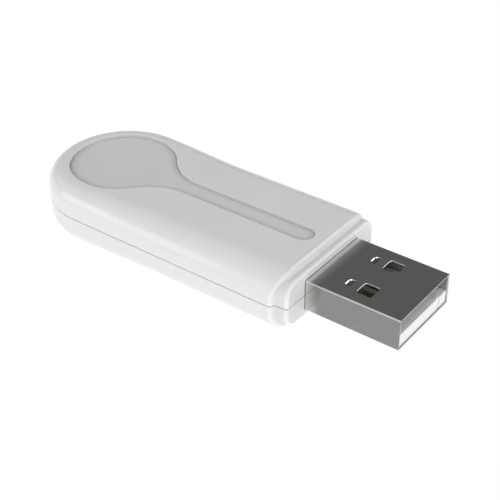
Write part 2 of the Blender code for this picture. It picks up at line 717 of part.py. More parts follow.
def finish(obj, material, root, joint_point=(0.0, 0.0, 0.0)):
    """Scale to metres, set the origin on the joint point, shade and parent."""
    point = Vector(joint_point)
    obj.data.transform(Matrix.Scale(MM, 4) @ Matrix.Translation(-point))
    obj.data.shade_smooth()
    obj.data.set_sharp_from_angle(angle=math.radians(32))
    obj.data.materials.clear()
    obj.data.materials.append(material)
    obj.parent = root
    obj.location = point * MM


def main():
    for obj in list(bpy.data.objects):
        bpy.data.objects.remove(obj)
    root = bpy.data.objects.new("plug_root", None)
    root.location = (-ORIGIN.x * MM, 0, -ORIGIN.z * MM)
    bpy.context.scene.collection.objects.link(root)

    cup, dome, plunger, cover = make_switch()
    fixed = [(make_top_shell(), "casing"), (make_bottom_shell(), "casing"), (make_label(), "paper"),
             (make_usb_shell(), "nickel"), (make_insulator(), "insulator"), (make_board(), "board"),
             (make_shield_can(), "tin"), (make_antenna(), "copper"), (cup, "epoxy"), (dome, "tin"),
             (cover, "tin")]
    fixed += [(contact, "gold") for contact in make_contacts()]
    fixed += make_components()
    materials = {name: make_material(name) for name in MATERIALS}
    for obj, slot in fixed:
        finish(obj, materials[slot], root)
    finish(make_press_pad(), materials["pad"], root, (PIVOT_X, 0, PIVOT_Z))
    finish(plunger, materials["epoxy"], root, (HEAD_X, 0, SWITCH_TOP))


main()
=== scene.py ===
"""Looks for the USB Wi-Fi adapter: fine casing, pad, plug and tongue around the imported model.

Lengths are millimetres about the plug root, the centre of the plug on the collar's front face,
with +X out along the plug. place() turns them into the frame's metres.
"""

import json
import math

import bmesh
import bpy
from mathutils import Matrix, Vector


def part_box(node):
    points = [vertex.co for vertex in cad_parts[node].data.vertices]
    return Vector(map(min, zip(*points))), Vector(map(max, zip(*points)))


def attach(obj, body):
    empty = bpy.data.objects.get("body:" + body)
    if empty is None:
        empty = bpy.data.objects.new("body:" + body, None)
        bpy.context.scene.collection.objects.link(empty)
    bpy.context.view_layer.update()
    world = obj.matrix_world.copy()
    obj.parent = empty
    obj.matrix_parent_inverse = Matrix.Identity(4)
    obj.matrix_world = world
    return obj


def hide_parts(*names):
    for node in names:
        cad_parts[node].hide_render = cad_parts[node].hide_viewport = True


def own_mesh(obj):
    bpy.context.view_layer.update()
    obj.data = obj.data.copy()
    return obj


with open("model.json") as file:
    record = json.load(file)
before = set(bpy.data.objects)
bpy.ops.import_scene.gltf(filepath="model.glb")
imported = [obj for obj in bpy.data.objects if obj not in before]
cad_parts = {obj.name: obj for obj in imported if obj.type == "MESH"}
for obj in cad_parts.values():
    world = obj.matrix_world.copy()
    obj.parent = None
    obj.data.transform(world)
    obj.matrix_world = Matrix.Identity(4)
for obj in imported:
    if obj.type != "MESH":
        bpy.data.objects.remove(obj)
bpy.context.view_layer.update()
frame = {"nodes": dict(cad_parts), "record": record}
NODES = frame["nodes"]
MM = 0.001

# How far a cutter reaches past what it cuts, the hair's breadth that keeps faces apart, how near two
# places count as one, and the distance below which points are welded
PAST = 1.0
HAIR = 0.001
TOLERANCE = 0.01
WELD = 0.0002

# ---------------------------------------------------------------- sizes read from the frame

PLUG_LENGTH = 13.75
plug_low, plug_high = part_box("usb_shell")
top_low, top_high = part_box("top_shell")
ROOT = Vector((plug_high.x - PLUG_LENGTH * MM, 0.0, (plug_low.z + plug_high.z) / 2))
PLUG_WIDTH = (plug_high.y - plug_low.y) / MM
PLUG_HEIGHT = (plug_high.z - plug_low.z) / MM
HALF_WIDTH = top_high.y / MM
HEAD_X = (top_low.x - ROOT.x) / MM + HALF_WIDTH
TOP = (top_high.z - ROOT.z) / MM
BOTTOM = (ROOT.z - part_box("bottom_shell")[0].z) / MM
PAD_TOP = (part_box("press_pad")[1].z - ROOT.z) / MM
SWITCH_TOP = (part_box("switch_plunger")[1].z - ROOT.z) / MM
LABEL_LOW, LABEL_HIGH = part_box("rating_label")
CONTACTS = ("contact_ground", "contact_data_plus", "contact_data_minus", "contact_power")

# ---------------------------------------------------------------- sizes of the looks

# Casing
SEAM_HALF_GAP = 0.06
SEAM_ROUND = 0.07
SEAM_STEPS = 3
WALL = 1.25
SKIN = 1.2
EDGE_TOP = (3.7, 2.6)
EDGE_BOTTOM = (2.55, 1.95)
EDGE_CHANGE_X = -21.0
EDGE_CHANGE_STEPS = 16
BODY_STATIONS = (-5.0, -13.0)
FLAT_SHARES = (-0.6, -0.2, 0.2, 0.6)
HEAD_STEPS = 72
STEP_SIDE = (-2.5, -1.5)
STEP_TOP = (-1.5, -0.7)
STEP_ANGLE = math.radians(75)
COLLAR_HALF_WIDTH = 9.97
COLLAR_TOP = 3.47
COLLAR_BOTTOM = 3.3
COLLAR_EDGE = 2.0
COLLAR_ROUND = 0.45
FRONT_WALL_X = -1.6
PLUG_CLEAR = 0.1
PLUG_OPENING_X = (-3.0, 1.0)
LIP_OUTER = 9.9
LIP_DEPTH = 0.9
LIP_FRONT_X = -3.2
LIP_ROOT = 0.5
LIP_CLEAR = 0.05
REBATE_FRONT_X = -2.9
REBATE_HIGH = 0.7
REBATE_CLEAR = 0.1
CAVITY_PAST_LIP = 0.3
CAVITY_PAST_SEAM = 0.5
LABEL_CLEAR = 0.25
LABEL_CORNER = 1.2
LABEL_BED = 0.2

# Keyhole press pad
RING_RADIUS = 7.6
STEM_HALF = 1.52
STEM_END_X = -3.0
STEM_CENTRE_X = STEM_END_X - STEM_HALF
FILLET = 8.7
RING_STEPS = 108
STEM_STEPS = 32
FILLET_STEPS = 20
OPENING_FOOT = 2.0
OPENING_ROUND = 0.14
PAD_GAP = 0.04
PAD_FLANGE = 0.7
FLANGE_DEPTH = 0.75
FLANGE_CHAMFER = 0.1
PAD_ROUND = 0.07
PAD_BANDS = (0.26, 0.37, 0.5, 0.68, 0.95, 1.3)
BOSS_FOOT_RADIUS = 0.9
BOSS_RADIUS = 1.3
BOSS_CLEAR = 0.05

# Switch dome: its sheet and its rings
DOME_SHEET = 0.08
DOME_BANDS = 12

# Painted highlight on the edges of the step and collar, and painted shade in their creases: the
# shortest span measured, the radius of a full edge, the area in square millimetres from which a face
# is flat, how much of an edge's painted highlight is lost where it faces up, and a crease's share on a
# side and what facing up adds to it
EDGE_NEAREST = 0.02
EDGE_RADIUS = 0.5
FLAT_AREA = 0.5
EDGE_UP_LOSS = 0.6
CREASE_SIDE = 0.15
CREASE_UP = 0.7

# Painted shade in the crease round the pad, standing in for the recess's shade: its share at the wall,
# the distance over which it fades, how far it lies to one side, its share on the opening's wall, how
# much of it the far side has, and its colour
PAINTED_SHADE_MOST = 0.55
PAINTED_SHADE_FADE = 0.4
PAINTED_SHADE_LEAN = (0.12, -0.16)
PAINTED_SHADE_WALL = 0.12
PAINTED_SHADE_FAR = 0.6
PAINTED_SHADE_COLOUR = (0.03, 0.03, 0.03)

# Plug
PLUG_SHEET = 0.25
PLUG_BEND = 0.13
PLUG_INNER_BEND = 0.05
MOUTH_ROUND = 0.04
MOUTH_RIM = 0.14
MOUTH_FLARE = 0.3
ROLL_OVER = 0.08
PLUG_REAR = -4.6
LEG_REAR = -8.0
LEG_Z = (-1.7, 0.9)
LEG_LAP = 0.5
WINDOW_X = 7.35
WINDOW_LONG = 2.1
WINDOW_WIDE = 2.26
WINDOW_CORNER = 0.3
WINDOW_PAST = 0.3
WINDOW_Y = 3.0
LANCE_X = (4.2, 5.15)
LANCE_WIDE = 1.6
LANCE_DEPTH = 0.15
LANCE_CORNER = 0.45
LANCE_LEAN = (0.13, 0.1)
LANCE_EASE = 0.03
LANCE_LAP = 0.1
LANCE_LIP = 0.02
LANCE_SETBACK = 0.05
LANCE_DROP = 0.4
JOINT_X = (0.6, 4.0, 6.0, 12.2)
JOINT_TAB = 0.9
JOINT_HALF = 0.03
JOINT_DEPTH = 0.08

# The plug's finishes, in the order of its material slots. A lance's hollow is painted dark as shade where a
# face's normal has an X below PAINTED_SHADE_X or a Y above PAINTED_SHADE_Y. A rolled edge gets a painted
# glint where the normal leans to the light by more than ROLLED_LEAN and its Z is below ROLLED_FLAT, but not
# within MOUTH_BAND of the mouth
PLATED, BARE, HOLLOW_PAINTED_SHADE, PAINTED_GLINT = range(4)
PAINTED_SHADE_X = -0.1
PAINTED_SHADE_Y = 0.3
ROLLED_LEAN = 0.1
ROLLED_FLAT = 0.99
MOUTH_BAND = 1.0

# White tongue inside the plug
TONGUE_BACK = 0.15
TONGUE_TOP = -0.2
TONGUE_CLEAR = 0.05
TONGUE_ROUND = 0.03
SPLIT_DEPTH = 0.5
TONGUE_SPLIT = (3.82, 3.98)
TONGUE_NICK = (3.5, 3.75)
TONGUE_LUG = (3.0, 3.4, 3.82, -0.03)
LUG_DEPTH = 0.4
LUG_ROOT = 0.1
NICK_DEPTH = 0.25
NICK_HIGH = 0.22

# Camera: its azimuth, elevation and roll in degrees, and where it is from the plug root in metres,
# as seen in the picture: to the right, up and back
CAMERA_SENSOR = 36.0
CAMERA_LENS = 82.22
CAMERA_TURN = (37.367, 34.796, -0.625)
CAMERA_SHIFT = (-0.010531, 0.002948, 0.147503)

# Studio: a dim tent, a white floor that glows, and round softboxes aimed at one spot, as (name,
# azimuth, elevation, size, watts), with metres for lengths
TENT_LIGHT = 0.33
FLOOR_HALF = 3.0
FLOOR_GREY = 0.04
FLOOR_GLOW = 0.98
SOFTBOX_AIM = (-0.01, 0.0, 0.004)
SOFTBOX_AWAY = 0.5
SOFTBOXES = (
    ("left_low", -135, 10, 0.3, 0.62),
    ("right_low", -20, 10, 0.3, 0.52),
    ("mouth_side", 15, 10, 0.3, 0.25),
    ("front_high", -50, 58, 0.3, 0.43),
    ("overhead", 0, 90, 0.3, 0.17),
    ("far_side", 47, 24, 0.2, 0.2),
    ("left_back", -165, 32, 0.3, 0.14),
)


# ---------------------------------------------------------------- mesh tools

def solid(name, bm):
    """A closed bmesh as an object, with its faces pointing out."""
    bmesh.ops.remove_doubles(bm, verts=bm.verts, dist=WELD)
    bmesh.ops.recalc_face_normals(bm, faces=bm.faces)
    mesh = bpy.data.meshes.new(name)
    bm.to_mesh(mesh)
    bm.free()
    obj = bpy.data.objects.new(name, mesh)
    bpy.context.scene.collection.objects.link(obj)
    return obj


def arc(centre, radius, start, end, steps):
    """Points on a circle from start to end, in degrees, both ends included."""
    points = []
    for i in range(steps + 1):
        angle = math.radians(start + (end - start) * i / steps)
        points.append((centre[0] + radius * math.cos(angle), centre[1] + radius * math.sin(angle)))
    return points


def quarter_round(radius, steps):
    """Points of a rounded edge, from its wall up to its face, as distances in and down."""
    angles = [math.radians(90 * i / steps) for i in range(steps + 1)]
    return [(radius * (1 - math.cos(angle)), radius * (1 - math.sin(angle))) for angle in angles]


def rounded_rectangle(half_a, half_b, radius, steps=8):
    """A rectangle about the middle with round corners."""
    points = []
    for sign_a, sign_b, start in ((1, 1, 0), (-1, 1, 90), (-1, -1, 180), (1, -1, 270)):
        corner = (sign_a * (half_a - radius), sign_b * (half_b - radius))
        points += arc(corner, radius, start, start + 90, steps)
    return points


def shifted(outline, dx, dy):
    return [(x + dx, y + dy) for x, y in outline]


def loft(name, rings, tube=False):
    """Skin a row of rings; a tube's last ring meets its first, others are capped."""
    bm = bmesh.new()
    loops = [[bm.verts.new(point) for point in ring] for ring in rings]
    pairs = list(zip(loops, loops[1:]))
    if tube:
        pairs.append((loops[-1], loops[0]))
    for first, second in pairs:
        for i in range(len(first)):
            j = (i + 1) % len(first)
            bm.faces.new((first[i], first[j], second[j], second[i]))
    if not tube:
        bm.faces.new(loops[0])
        bm.faces.new(loops[-1])
    return solid(name, bm)


def prism(name, outline, low, high):
    """An outline in X and Y, raised from low to high."""
    return loft(name, [[(x, y, z) for x, y in outline] for z in (low, high)])


def blade(name, profile, left, right):
    """A profile in X and Z, spread along Y."""
    return loft(name, [[(x, y, z) for x, z in profile] for y in (left, right)])


def turned(name, centre, profile, steps=48):
    """A profile of radii and heights, turned round an upright axis."""
    rings = []
    for radius, z in profile:
        circle = arc(centre, radius, 0, 360 - 360 / steps, steps - 1)
        rings.append([(x, y, z) for x, y in circle])
    return loft(name, rings)


def box(name, low, high):
    outline = [(low[0], low[1]), (high[0], low[1]), (high[0], high[1]), (low[0], high[1])]
    return prism(name, outline, low[2], high[2])


def bake(obj):
    """Apply the object's modifiers to its mesh."""
    bpy.context.view_layer.update()
    depsgraph = bpy.context.evaluated_depsgraph_get()
    baked = bpy.data.meshes.new_from_object(obj.evaluated_get(depsgraph))
    obj.modifiers.clear()
    obj.data = baked
    return obj


def combine(obj, operation, *tools):
    """Apply Boolean tools in turn, and delete them."""
    for tool in tools:
        modifier = obj.modifiers.new(tool.name, "BOOLEAN")
        modifier.operation = operation
        modifier.solver = "EXACT"
        modifier.object = tool
    bake(obj)
    for tool in tools:
        bpy.data.objects.remove(tool)
    return obj


def cut(obj, *tools):
    return combine(obj, "DIFFERENCE", *tools)


def add(obj, *tools):
    return combine(obj, "UNION", *tools)


def bevelled(obj, width, segments=2, angle=40):
    modifier = obj.modifiers.new("bevel", "BEVEL")
    modifier.width = width
    modifier.segments = segments
    modifier.limit_method = "ANGLE"
    modifier.angle_limit = math.radians(angle)
    return bake(obj)


def place(obj, body, slot, material, *replaced, smooth=32):
    """Scale to metres, shade, give the material, and hand the piece to the frame."""
    obj.data.transform(Matrix.Translation(ROOT) @ Matrix.Scale(MM, 4))
    obj.data.shade_smooth()
    obj.data.set_sharp_from_angle(angle=math.radians(smooth))
    weighted = obj.modifiers.new("weighted_normals", "WEIGHTED_NORMAL")
    weighted.keep_sharp = True
    obj.data.materials.clear()
    obj.data.materials.append(material)
    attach(obj, body)
    if replaced:
        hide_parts(*replaced)
    return obj


# ---------------------------------------------------------------- outlines

def round_ended(half_width, front_x):
    """The casing's plan at a given half width, square at front_x and round at the head."""
    head = arc((HEAD_X, 0), half_width, 270, 90, HEAD_STEPS)
    return [(front_x, -half_width)] + head + [(front_x, half_width)]


def keyhole(offset):
    """A ring, two hollow fillets and a round-ended stem, moved out by offset."""
    ring = RING_RADIUS + offset
    stem = STEM_HALF + offset
    fillet = FILLET - offset
    reach = math.sqrt((ring + fillet) ** 2 - (stem + fillet) ** 2)
    meet = math.degrees(math.atan2(stem + fillet, reach))
    fillet_x = HEAD_X + reach
    points = arc((HEAD_X, 0), ring, meet, 360 - meet, RING_STEPS)
    points += arc((fillet_x, -stem - fillet), fillet, 180 - meet, 90, FILLET_STEPS)[1:]
    points += arc((STEM_CENTRE_X, 0), stem, 270, 450, STEM_STEPS)
    points += arc((fillet_x, stem + fillet), fillet, 270, 180 + meet, FILLET_STEPS)[:-1]
    return points


def keyhole_ring(offset, z):
    return [(x, y, z) for x, y in keyhole(offset)]


def edge_radius(x, edge):
    """The long edge's radius at x, as it changes from the body's to the head's."""
    along = min(max((EDGE_CHANGE_X - x) / (EDGE_CHANGE_X - HEAD_X), 0), 1)
    ease = along * along * (3 - 2 * along)
    return edge[0] + (edge[1] - edge[0]) * ease


def edge_column(x, y, inward, height, radius, rim, steps):
    """Points up one wall: the seam's small rounding, then the wall, then the long edge."""
    spots = [(inset, rim + rise) for rise, inset in quarter_round(SEAM_ROUND, SEAM_STEPS)]
    spots += [(inset, height - drop) for inset, drop in quarter_round(radius, steps)]
    return [(x + inward[0] * inset, y + inward[1] * inset, z) for inset, z in spots]


def section(half_width, height, radius, x, rim, steps):
    """One cross-section, from rim to rim over the flat."""
    side = edge_column(x, -half_width, (0, 1), height, radius, rim, steps)
    flat = [(x, (half_width - radius) * share, height) for share in FLAT_SHARES]
    return side + flat + [(px, -py, pz) for px, py, pz in reversed(side)]


def step_rings(half_width, height, radius, rim, collar_height, steps, bends=10):
    """Cross-sections through the S-shaped step and the collar's round front edge."""
    body = section(half_width, height, radius, 0.0, rim, steps)
    neck = section(COLLAR_HALF_WIDTH, collar_height, COLLAR_EDGE, 0.0, rim, steps)
    lift = [0.0] * (SEAM_STEPS + 1)
    lift += [math.sin(math.radians(90 * i / steps)) ** 2 for i in range(steps + 1)]
    lift = lift + [1.0] * len(FLAT_SHARES) + lift[::-1]
    turn = [STEP_ANGLE * i / bends for i in range(bends + 1)]
    rise = [(0.5 * math.sin(a) / math.sin(STEP_ANGLE),
             0.5 * (1 - math.cos(a)) / (1 - math.cos(STEP_ANGLE))) for a in turn]
    curve = rise + [(1 - ahead, 1 - inset) for ahead, inset in reversed(rise[:-1])]
    rings = []
    for ahead, inset in curve:
        ring = []
        for (_, y0, z0), (_, y1, z1), up in zip(body, neck, lift):
            start = STEP_SIDE[0] + (STEP_TOP[0] - STEP_SIDE[0]) * up
            end = STEP_SIDE[1] + (STEP_TOP[1] - STEP_SIDE[1]) * up
            ring.append((start + (end - start) * ahead, y0 + (y1 - y0) * inset, z0 + (z1 - z0) * inset))
        rings.append(ring)
    for inset, drop in quarter_round(COLLAR_ROUND, bends):
        rings.append(section(COLLAR_HALF_WIDTH - inset, collar_height - inset, COLLAR_EDGE - inset, -drop,
                             rim, steps))
    return rings


def half_casing(name, half_width, height, edge, front_x, rim, collar_height=None, steps=18, fan=96):
    """A half of the casing's outer or inner form, with its flat up."""
    stations = [front_x, *BODY_STATIONS]
    stations += [EDGE_CHANGE_X + (HEAD_X - EDGE_CHANGE_X) * i / EDGE_CHANGE_STEPS
                 for i in range(EDGE_CHANGE_STEPS)]
    right = [edge_column(x, -half_width, (0, 1), height, edge_radius(x, edge), rim, steps) for x in stations]
    left = [[(x, -y, z) for x, y, z in column] for column in reversed(right)]
    head = []
    for i in range(fan + 1):
        angle = math.radians(270 - 180 * i / fan)
        out = (math.cos(angle), math.sin(angle))
        head.append(edge_column(HEAD_X + half_width * out[0], half_width * out[1], (-out[0], -out[1]),
                                height, edge[1], rim, steps))
    columns = right + head + left
    rows = SEAM_STEPS + steps + 2
    rings = [section(half_width, height, edge[0], front_x, rim, steps)]
    if collar_height:
        rings = step_rings(half_width, height, edge[0], rim, collar_height, steps)
        columns[0] = rings[0][:rows]
        columns[-1] = rings[0][:-rows - 1:-1]

    bm = bmesh.new()
    grid = [[bm.verts.new(point) for point in column] for column in columns]
    for near, far in zip(grid, grid[1:]):
        for i in range(rows - 1):
            bm.faces.new((near[i], near[i + 1], far[i + 1], far[i]))
    middle = [bm.verts.new(point) for point in rings[0][rows:-rows]]
    loops = [grid[0] + middle + grid[-1][::-1]]
    loops += [[bm.verts.new(point) for point in ring] for ring in rings[1:]]
    for first, second in zip(loops, loops[1:]):
        for i in range(len(first) - 1):
            bm.faces.new((first[i], first[i + 1], second[i + 1], second[i]))
    bm.faces.new([column[-1] for column in grid] + middle[::-1])
    rim_left = [loop[-1] for loop in loops[1:]]
    rim_right = [loop[0] for loop in reversed(loops[1:])]
    bm.faces.new([column[0] for column in grid] + rim_left + rim_right)
    bm.faces.new(loops[-1])
    return solid(name, bm)


def turned_over(obj):
    """Mirror a piece top to bottom."""
    obj.data.transform(Matrix.Diagonal((1, 1, -1, 1)))
    obj.data.flip_normals()
    return obj


def from_keyhole(x, y):
    """Distance in plan from the keyhole's outline."""
    outline = [Vector(point) for point in keyhole(0.0)]
    spot = Vector((x, y))
    nearest = []
    for start, end in zip(outline, outline[1:] + outline[:1]):
        along = (spot - start).dot(end - start) / (end - start).length_squared
        nearest.append((spot - start.lerp(end, min(max(along, 0), 1))).length)
    return min(nearest)


def with_painted_shade(obj, amount):
    """Store on each vertex how much painted shade it has, from 0 to 1."""
    layer = obj.data.attributes.new("painted_shade", "FLOAT", "POINT")
    for vertex, item in zip(obj.data.vertices, layer.data):
        item.value = amount(*vertex.co)
    return obj


def mark_painted_light_and_shade(obj):
    """Store how far each vertex by the collar lies on an edge, towards 1, or in a crease, towards -1, for
    the painted highlight on edges and painted shade in creases.
    """
    bm = bmesh.new()
    bm.from_mesh(obj.data)
    layer = obj.data.attributes.new("edge", "FLOAT", "POINT")
    for vertex, item in zip(bm.verts, layer.data):
        beside_flat = any(face.calc_area() > FLAT_AREA for face in vertex.link_faces)
        if beside_flat or vertex.co.x < STEP_SIDE[0]:
            continue
        bend = 0.0
        for edge in vertex.link_edges:
            step = vertex.co - edge.other_vert(vertex).co
            if step.length > EDGE_NEAREST:
                bend += EDGE_RADIUS * vertex.normal.dot(step) / step.length_squared
        up = max(vertex.normal.z, 0.0)
        if bend > 0:
            item.value = min(bend, 1.0) * (1 - EDGE_UP_LOSS * up)
        else:
            item.value = max(bend, -1.0) * (CREASE_SIDE + CREASE_UP * up)
    bm.free()
    return obj


def pad_painted_shade(x, y, _):
    """Painted shade on the pad, which thins out from its edge and is lighter on its far side."""
    far = min(max(y / (2 * STEM_HALF) + 0.5, 0.0), 1.0)
    most = PAINTED_SHADE_MOST * (1 + (PAINTED_SHADE_FAR - 1) * far)
    return most * math.exp(-from_keyhole(x + PAINTED_SHADE_LEAN[0], y + PAINTED_SHADE_LEAN[1]) / PAINTED_SHADE_FADE)


def opening_painted_shade(x, y, z):
    """Painted shade on the wall of the pad's opening, which ends at its rounded upper edge."""
    beside = TOP - SKIN - TOLERANCE <= z <= TOP - 2 * TOLERANCE
    return PAINTED_SHADE_WALL if beside and from_keyhole(x, y) <= OPENING_ROUND else 0.0


# ---------------------------------------------------------------- pieces

def plug_opening():
    """The cutter of the hole in the collar that the plug goes through."""
    half_y = PLUG_WIDTH / 2 + PLUG_CLEAR
    half_z = PLUG_HEIGHT / 2 + PLUG_CLEAR
    outline = rounded_rectangle(half_y, half_z, PLUG_BEND + PLUG_CLEAR)
    return loft("plug_opening", [[(x, y, z) for y, z in outline] for x in PLUG_OPENING_X])


def pad_opening():
    """The keyhole cutter, which flares at the top to round the opening's edge."""
    rings = [keyhole_ring(0.0, OPENING_FOOT)]
    rings += [keyhole_ring(inset, TOP - drop + 2 * HAIR) for inset, drop in quarter_round(OPENING_ROUND, 6)]
    return loft("pad_opening", rings + [keyhole_ring(OPENING_ROUND, TOP + PAST)])


def cavity(height, edge, rim):
    """The inside of a casing half, in fewer steps than the outside."""
    return half_casing("cavity", HALF_WIDTH - WALL, height - SKIN, (edge[0] - WALL, edge[1] - WALL),
                       FRONT_WALL_X, rim, steps=6, fan=72)


def make_top_casing():
    shell = half_casing("top_casing", HALF_WIDTH, TOP, EDGE_TOP, STEP_SIDE[0], SEAM_HALF_GAP, COLLAR_TOP)
    add(shell, prism("lip", round_ended(LIP_OUTER, LIP_FRONT_X), -LIP_DEPTH, LIP_ROOT))
    inside = cavity(TOP, EDGE_TOP, -LIP_DEPTH - CAVITY_PAST_LIP)
    # The opening's wall carries painted shade
    return mark_painted_light_and_shade(with_painted_shade(cut(shell, inside, plug_opening(), pad_opening()), opening_painted_shade))


def make_bottom_casing():
    shell = turned_over(half_casing("bottom_casing", HALF_WIDTH, BOTTOM, EDGE_BOTTOM, STEP_SIDE[0],
                                    SEAM_HALF_GAP, COLLAR_BOTTOM))
    inside = turned_over(cavity(BOTTOM, EDGE_BOTTOM, -CAVITY_PAST_SEAM))
    rebate = prism("rebate", round_ended(LIP_OUTER + LIP_CLEAR, REBATE_FRONT_X),
                   -LIP_DEPTH - REBATE_CLEAR, REBATE_HIGH)
    middle = ((LABEL_LOW + LABEL_HIGH) / 2 - ROOT) / MM
    size = (LABEL_HIGH - LABEL_LOW) / MM
    bed = rounded_rectangle(size.x / 2 + LABEL_CLEAR, size.y / 2 + LABEL_CLEAR, LABEL_CORNER)
    label_bed = prism("label_bed", shifted(bed, middle.x, 0), -BOTTOM - PAST, -BOTTOM + LABEL_BED)
    return mark_painted_light_and_shade(cut(shell, inside, rebate, plug_opening(), label_bed))


def make_pad():
    """The keyhole pad, with its hidden flange and the boss that meets the switch."""
    ceiling = TOP - SKIN
    flange_edge = ceiling - (FLANGE_DEPTH - FLANGE_CHAMFER)
    rings = [keyhole_ring(PAD_FLANGE - FLANGE_CHAMFER, ceiling - FLANGE_DEPTH),
             keyhole_ring(PAD_FLANGE, flange_edge),
             keyhole_ring(PAD_FLANGE, ceiling - PAD_GAP), keyhole_ring(-PAD_GAP, ceiling - PAD_GAP)]
    rings += [keyhole_ring(-PAD_GAP - inset, PAD_TOP - drop) for inset, drop in quarter_round(PAD_ROUND, 6)]
    rings += [keyhole_ring(-inset, PAD_TOP) for inset in PAD_BANDS]
    boss_profile = [(BOSS_FOOT_RADIUS, SWITCH_TOP + BOSS_CLEAR), (BOSS_RADIUS, flange_edge)]
    boss = turned("boss", (HEAD_X, 0), boss_profile)
    # The pad carries painted shade along its edge
    return with_painted_shade(add(loft("keyhole_pad", rings), boss), pad_painted_shade)


def make_snap_dome():
    """The switch's domed sheet, over the whole of its CAD node's height."""
    low, high = ((corner - ROOT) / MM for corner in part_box("switch_dome"))
    radius = (high.x - low.x) / 2
    spans = [radius * i / DOME_BANDS for i in range(1, DOME_BANDS + 1)]
    over = [(r, high.z - (high.z - low.z - DOME_SHEET) * (r / radius) ** 2) for r in spans]
    under = [(r, z - DOME_SHEET) for r, z in over]
    return turned("snap_dome", (HEAD_X, 0), under + over[::-1])


def plug_ring(x, inset, radius):
    outline = rounded_rectangle(PLUG_WIDTH / 2 - inset, PLUG_HEIGHT / 2 - inset, radius)
    return [(x, y, z) for y, z in outline]


def make_plug():
    """The folded shell with its rounded mouth, windows, lances, legs and closing joint."""
    rings = [plug_ring(PLUG_REAR, 0, PLUG_BEND)]
    rings += [plug_ring(PLUG_LENGTH - drop, inset, PLUG_BEND - inset)
              for inset, drop in quarter_round(MOUTH_ROUND, 4)]
    rings += [plug_ring(PLUG_LENGTH, MOUTH_RIM, PLUG_INNER_BEND),
              plug_ring(PLUG_LENGTH - MOUTH_FLARE, PLUG_SHEET, PLUG_INNER_BEND),
              plug_ring(PLUG_REAR, PLUG_SHEET, PLUG_INNER_BEND)]
    shell = loft("plug_shell", rings, tube=True)
    outside = PLUG_HEIGHT / 2
    inside = outside - PLUG_SHEET
    holes = []
    parts = []
    for side in (-1, 1):
        holes.append(window_cutter("window_top", side, outside))
        holes.append(turned_over(window_cutter("window_under", side, outside)))
        holes.append(lance_pocket(side, outside))
        parts.append(lance_tongue(side, inside))
        near, far = sorted((side * (PLUG_WIDTH / 2 - PLUG_SHEET), side * PLUG_WIDTH / 2))
        parts.append(box("leg", (LEG_REAR, near, LEG_Z[0]), (PLUG_REAR + LEG_LAP, far, LEG_Z[1])))
    add(shell, *parts)
    return cut(shell, *holes, *fold_joint(outside))


def plug_finish(x, y, z, normal):
    """Which of the plug's four finishes a spot has: plated, bare, painted shade in a lance's hollow, or
    painted glint.
    """
    depth_y = PLUG_WIDTH / 2 - abs(y)
    depth_z = PLUG_HEIGHT / 2 - abs(z)
    broad_side = depth_y > PLUG_SHEET
    in_lance = LANCE_X[0] < x < LANCE_X[1] + LANCE_LAP and 2 * TOLERANCE < depth_z < LANCE_DEPTH
    if broad_side and z > 0 and in_lance:
        # A lance's hollow is painted dark as shade, and its other walls get a painted glint
        return HOLLOW_PAINTED_SHADE if normal.x < PAINTED_SHADE_X or normal.y > PAINTED_SHADE_Y else PAINTED_GLINT
    if min(depth_y, depth_z) > MOUTH_ROUND + TOLERANCE and not (broad_side and depth_z < ROLL_OVER):
        return BARE
    if broad_side and depth_z < depth_y:
        # Rolled window edges that lean to the light get a painted glint
        rolled = abs(normal.z) < ROLLED_FLAT and normal.x - normal.y > ROLLED_LEAN
        return PAINTED_GLINT if rolled and x < PLUG_LENGTH - MOUTH_BAND else PLATED
    # The near top bend gets a painted glint, the far one stays plated
    near_bend_glint = y < 0 < z and max(depth_y, depth_z) < PLUG_BEND and x < PLUG_LENGTH - MOUTH_ROUND
    return PAINTED_GLINT if near_bend_glint else PLATED


def finish_plug(plug, *finishes):
    """Add the finishes after PLATED and give each face its own."""
    for finish in finishes:
        plug.data.materials.append(finish.material)
    for face in plug.data.polygons:
        spot = (face.center - ROOT) / MM
        face.material_index = plug_finish(*spot, face.normal)


def window_cutter(name, side, outside):
    """A window's punch, which flares at the face as the sheet rolls over into the cut."""
    def ring(grow, z):
        outline = rounded_rectangle(WINDOW_LONG / 2 + grow, WINDOW_WIDE / 2 + grow, WINDOW_CORNER + grow)
        return [(x, y, z) for x, y in shifted(outline, WINDOW_X, side * WINDOW_Y)]
    rings = [ring(0, outside - PLUG_SHEET - WINDOW_PAST)]
    rings += [ring(inset, outside - drop + HAIR) for inset, drop in quarter_round(ROLL_OVER, 5)]
    return loft(name, rings + [ring(ROLL_OVER, outside + PAST)])


def lance_tongue(side, inside):
    """The metal under a pressed lance."""
    root = LANCE_X[0] + LANCE_SETBACK
    mouth = LANCE_X[1] + LANCE_LAP
    profile = [(mouth, inside + LANCE_LAP), (mouth, inside - LANCE_LIP), (root, inside - LANCE_DROP),
               (root, inside + LANCE_LAP)]
    half = LANCE_WIDE / 2
    return blade("lance", profile, side * WINDOW_Y - half, side * WINDOW_Y + half)


def lance_ring(side, inset_x, inset_y):
    """Plan of a lance's hollow, moved in by inset_x at its round, deep end and by inset_y at its sides."""
    root, mouth = LANCE_X
    half = LANCE_WIDE / 2
    corner = LANCE_CORNER
    outline = [(mouth, half), (mouth, -half)] + arc((root + corner, corner - half), corner, 270, 180, 8)
    outline += arc((root + corner, half - corner), corner, 180, 90, 8)
    narrow = 1 - inset_y / half
    shrink = (mouth - root - inset_x) / (mouth - root)
    return [(mouth - (mouth - x) * shrink, side * WINDOW_Y + y * narrow) for x, y in outline]


